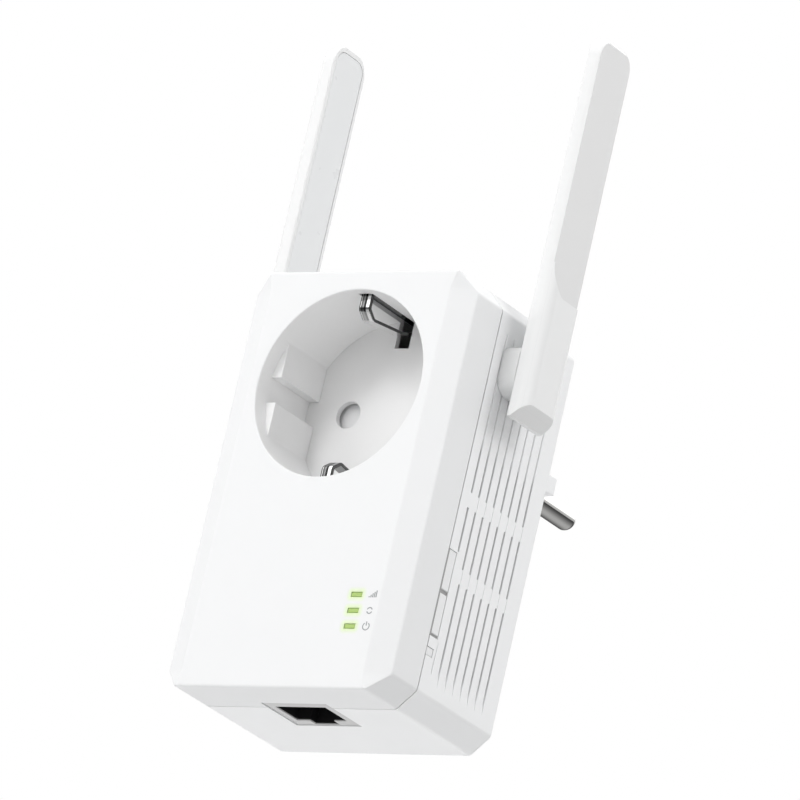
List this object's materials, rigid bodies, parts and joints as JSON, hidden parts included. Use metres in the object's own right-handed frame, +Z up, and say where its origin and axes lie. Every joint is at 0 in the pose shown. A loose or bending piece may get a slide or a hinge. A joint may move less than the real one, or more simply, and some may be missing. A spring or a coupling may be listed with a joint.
{
  "type": "wifi range extender",
  "caption": "Plug-in wireless range extender with swinging antennas, a pass-through mains outlet with earth clips, status lights, side keys, vents and a network jack.",
  "frame": {"origin": "centre of the plug's mating face, midway between the two pins", "axes": "+Y points along the pins into the wall outlet, +Z up towards the antenna tips, +X to the right seen from the front"},
  "size_m": [0.0718, 0.0725, 0.1459],
  "materials": {
    "white_plastic": "fine satin",
    "gloss_white_plastic": "gloss",
    "grey_plastic": "satin",
    "black_plastic": "satin",
    "bright_steel": "polished",
    "nickel_plate": "polished nickel plating",
    "brass": "plain",
    "circuit_board": "solder mask",
    "green_light": "clear tinted"
  },
  "bodies": {
    "housing": {"front_cover": "white_plastic", "rear_housing": "white_plastic", "plug_base": "white_plastic", "socket_floor": "white_plastic", "shutter_carrier": "white_plastic", "shutter_spring": "bright_steel", "earth_clip_top": "bright_steel", "earth_clip_bottom": "bright_steel", "earth_strap": "nickel_plate", "socket_contact_left": "brass", "socket_contact_right": "brass", "bus_bar_left": "brass", "bus_bar_right": "brass", "plug_pin_left": "nickel_plate", "plug_pin_right": "nickel_plate", "plug_earth_strip_top": "bright_steel", "plug_earth_strip_bottom": "bright_steel", "case_screw_1": "bright_steel", "case_screw_2": "bright_steel", "case_screw_3": "bright_steel", "case_screw_4": "bright_steel", "main_board": "circuit_board", "power_board": "circuit_board", "rf_shield": "bright_steel", "led_1": "green_light", "led_2": "green_light", "led_3": "green_light", "light_pipe_1": "green_light", "light_pipe_2": "green_light", "light_pipe_3": "green_light", "ethernet_jack": "grey_plastic", "jack_contacts": "brass", "ethernet_magnetics": "black_plastic", "power_switch": "black_plastic", "pairing_switch": "black_plastic", "reset_switch": "black_plastic", "transformer": "black_plastic", "bulk_capacitor": "black_plastic", "mains_fuse": "grey_plastic", "board_header": "black_plastic", "mains_wire_left": "black_plastic", "mains_wire_right": "black_plastic", "antenna_lead_left": "black_plastic", "antenna_lead_right": "black_plastic"},
    "antenna_left": {"antenna_shell_left": "gloss_white_plastic", "antenna_cover_left": "white_plastic", "antenna_element_left": "circuit_board", "hinge_knuckle_left": "white_plastic", "hinge_ring_left": "bright_steel"},
    "antenna_right": {"antenna_shell_right": "gloss_white_plastic", "antenna_cover_right": "white_plastic", "antenna_element_right": "circuit_board", "hinge_knuckle_right": "white_plastic", "hinge_ring_right": "bright_steel"},
    "power_key": {"power_button": "white_plastic"},
    "pairing_key": {"pairing_button": "white_plastic"},
    "reset_key": {"reset_button": "white_plastic"},
    "shutter": {"socket_shutter": "white_plastic"}
  },
  "joints": [
    {"name": "antenna_left_hinge", "type": "hinge", "parent": "housing", "child": "antenna_left", "pos_m": [-0.0274, -0.0332, 0.0106], "axis": [1, 0, 0], "range_deg": [0, 180]},
    {"name": "antenna_right_hinge", "type": "hinge", "parent": "housing", "child": "antenna_right", "pos_m": [0.0274, -0.0332, 0.0106], "axis": [1, 0, 0], "range_deg": [0, 180]},
    {"name": "power_press", "type": "slide", "parent": "housing", "child": "power_key", "axis": [-1, 0, 0], "range_m": [0, 0.0008], "stiffness_N_per_m": 500, "springref_m": -0.0006},
    {"name": "pairing_press", "type": "slide", "parent": "housing", "child": "pairing_key", "axis": [-1, 0, 0], "range_m": [0, 0.0007], "stiffness_N_per_m": 500, "springref_m": -0.0006},
    {"name": "reset_press", "type": "slide", "parent": "housing", "child": "reset_key", "axis": [-1, 0, 0], "range_m": [0, 0.0005], "stiffness_N_per_m": 500, "springref_m": -0.0006},
    {"name": "shutter_turn", "type": "hinge", "parent": "housing", "child": "shutter", "pos_m": [0, -0.0343, 0.0018], "axis": [0, 1, 0], "range_deg": [0, 45], "stiffness_Nm_per_rad": 0.003, "springref_deg": -22.92}
  ]
}
